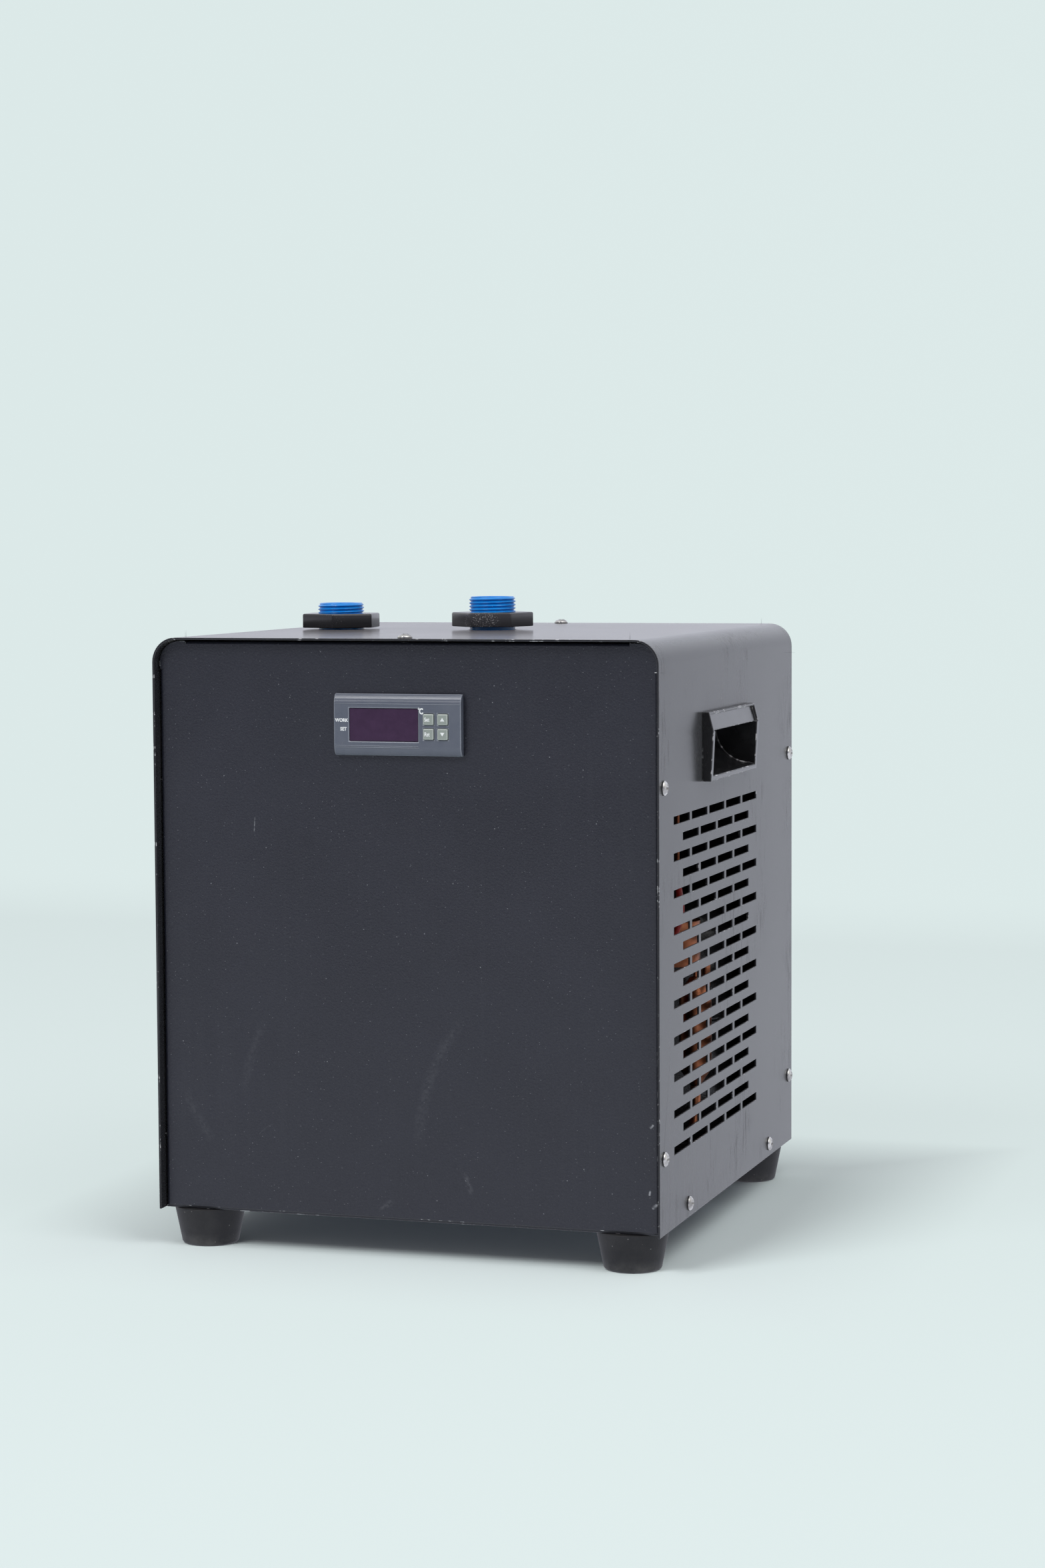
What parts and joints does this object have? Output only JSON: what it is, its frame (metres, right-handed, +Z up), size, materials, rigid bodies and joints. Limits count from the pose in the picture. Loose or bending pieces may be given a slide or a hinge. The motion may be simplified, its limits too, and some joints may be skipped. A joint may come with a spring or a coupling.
{
  "type": "aquarium chiller",
  "caption": "Small cabinet water chiller: slotted folded-steel case on rubber feet, with a front temperature controller, recessed side handles and threaded water unions on top.",
  "frame": {"origin": "middle of the object's bounding box, on the floor under the feet", "axes": "+Z up, -Y towards the front with the controller, +X to the right as seen from the front"},
  "size_m": [0.3114, 0.316, 0.37],
  "materials": {
    "cover_paint": "satin",
    "panel_paint": "satin",
    "tray_steel": "satin",
    "foot_rubber": "matte",
    "screw_steel": "polished",
    "handle_plastic": "matte",
    "bezel_plastic": "satin",
    "window_plastic": "gloss",
    "key_plastic": "satin",
    "board_green": "satin",
    "black_plastic": "matte",
    "green_plastic": "satin",
    "pin_metal": "polished",
    "barrel_plastic": "satin",
    "foam": "matte",
    "titanium": "satin",
    "union_blue": "gloss",
    "nut_plastic": "satin",
    "zinc_steel": "satin",
    "fin_aluminium": "satin",
    "copper": "satin",
    "black_steel": "satin",
    "lead_red": "satin",
    "lead_black": "satin"
  },
  "bodies": {
    "chiller": {"wrap_cover": "cover_paint", "front_panel": "panel_paint", "rear_panel": "panel_paint", "base_tray": "tray_steel", "foot_front_left": "foot_rubber", "foot_front_right": "foot_rubber", "foot_rear_left": "foot_rubber", "foot_rear_right": "foot_rubber", "foot_screws": "screw_steel", "foot_nuts": "screw_steel", "cover_screws": "screw_steel", "handle_left": "handle_plastic", "handle_right": "handle_plastic", "controller_bezel": "bezel_plastic", "display_window": "window_plastic", "controller_case": "black_plastic", "controller_board": "board_green", "controller_clips": "black_plastic", "terminal_block": "green_plastic", "power_inlet": "black_plastic", "inlet_pins": "pin_metal", "inlet_screws": "screw_steel", "barrel_tube": "barrel_plastic", "barrel_cap_left": "barrel_plastic", "barrel_cap_right": "barrel_plastic", "barrel_insulation": "foam", "barrel_saddles": "foam", "barrel_shelf": "zinc_steel", "titanium_coil": "titanium", "temperature_probe": "lead_black", "union_left": "union_blue", "union_right": "union_blue", "nut_left": "nut_plastic", "nut_right": "nut_plastic", "union_seals": "foot_rubber", "condenser_core": "fin_aluminium", "condenser_bends": "copper", "fan_shroud": "black_steel", "fan_motor": "black_steel", "motor_bracket": "zinc_steel", "compressor_shell": "black_steel", "compressor_grommets": "foot_rubber", "compressor_bolts": "zinc_steel", "compressor_nuts": "zinc_steel", "terminal_cover": "black_plastic", "discharge_pipe": "copper", "liquid_pipe": "copper", "filter_drier": "copper", "capillary_coil": "copper", "suction_pipe": "copper", "process_tube": "copper", "compressor_lead": "lead_red", "fan_lead": "lead_black", "mains_lead": "lead_black"},
    "fan": {"fan_rotor": "black_plastic", "motor_shaft": "zinc_steel"},
    "set_key": {"key_set": "key_plastic"},
    "up_key": {"key_up": "key_plastic"},
    "reset_key": {"key_reset": "key_plastic"},
    "down_key": {"key_down": "key_plastic"}
  },
  "joints": [
    {"name": "fan_spin", "type": "hinge", "parent": "chiller", "child": "fan", "pos_m": [-0.082, -0.0318, 0.14], "axis": [1, 0, 0], "continuous": true},
    {"name": "set_press", "type": "slide", "parent": "chiller", "child": "set_key", "axis": [0, 1, 0], "range_m": [0, 0.0009], "stiffness_N_per_m": 600, "springref_m": -0.0005},
    {"name": "up_press", "type": "slide", "parent": "chiller", "child": "up_key", "axis": [0, 1, 0], "range_m": [0, 0.0009], "stiffness_N_per_m": 600, "springref_m": -0.0005},
    {"name": "reset_press", "type": "slide", "parent": "chiller", "child": "reset_key", "axis": [0, 1, 0], "range_m": [0, 0.0009], "stiffness_N_per_m": 600, "springref_m": -0.0005},
    {"name": "down_press", "type": "slide", "parent": "chiller", "child": "down_key", "axis": [0, 1, 0], "range_m": [0, 0.0009], "stiffness_N_per_m": 600, "springref_m": -0.0005}
  ]
}
